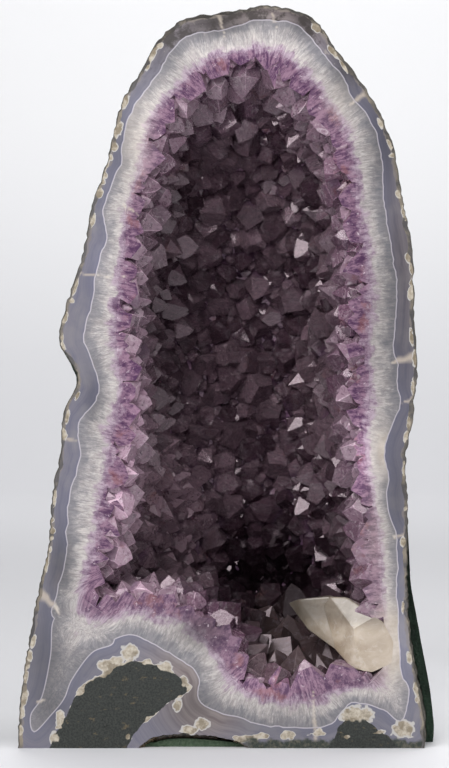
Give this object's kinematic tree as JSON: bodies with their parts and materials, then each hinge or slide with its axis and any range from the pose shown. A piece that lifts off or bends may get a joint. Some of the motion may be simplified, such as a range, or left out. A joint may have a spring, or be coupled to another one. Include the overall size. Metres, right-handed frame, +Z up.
{
  "type": "amethyst geode",
  "caption": "Tall cathedral geode, sawn open to a cavity lined with purple crystals inside banded agate and quartz, with calcite and a painted cement back, standing on a flat foot.",
  "frame": {"origin": "on the floor under the middle of the geode's bounding box", "axes": "+Z up; the sawn face with the cavity looks along -Y and the cement back along +Y; +X is to the right of someone who looks at the sawn face"},
  "size_m": [0.2558, 0.187, 0.451],
  "materials": {
    "cement": "rough trowelled cement under dark green paint",
    "rind": "rough weathered basalt with pale nodules",
    "agate": "polished banded agate",
    "quartz": "polished milky fibrous quartz",
    "amethyst": "natural crystal faces, clear smoky purple",
    "calcite": "waxy translucent calcite",
    "basalt": "sawn speckled basalt"
  },
  "bodies": {
    "root": {"cement_back": "cement", "basalt_rind": "rind", "agate_wall": "agate", "quartz_wall": "quartz", "amethyst_druse": "amethyst", "calcite_cluster": "calcite", "basalt_lump": "basalt", "basalt_chip": "basalt"}
  },
  "joints": []
}
